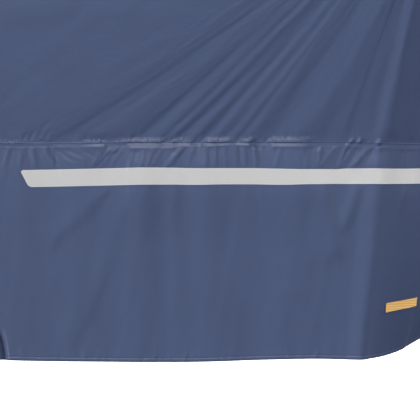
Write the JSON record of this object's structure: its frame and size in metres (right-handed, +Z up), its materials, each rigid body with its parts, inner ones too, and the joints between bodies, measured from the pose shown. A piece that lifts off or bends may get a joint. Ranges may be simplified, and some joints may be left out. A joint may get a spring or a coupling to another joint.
{
  "type": "fitted scooter cover",
  "caption": "Fitted navy rain cover for a motor scooter, hanging in folds from saddle and grips, with a lapped waist seam, a reflective stripe and an elastic hem.",
  "frame": {"origin": "on the centre plane, under the cloth where it lies on the saddle", "axes": "+X to the front of the machine, +Y to its left, +Z up"},
  "size_m": [2.0089, 0.7266, 0.9702],
  "materials": {
    "cover_cloth": "coated polyester taffeta, satin",
    "reflective_tape": "silver reflective tape, satin",
    "woven_tag": "woven ribbon, matte"
  },
  "bodies": {
    "root": {"hood_right": "cover_cloth", "hood_left": "cover_cloth", "skirt_right": "cover_cloth", "skirt_left": "cover_cloth", "reflective_stripe_right": "reflective_tape", "reflective_stripe_left": "reflective_tape", "tag": "woven_tag"}
  },
  "joints": []
}
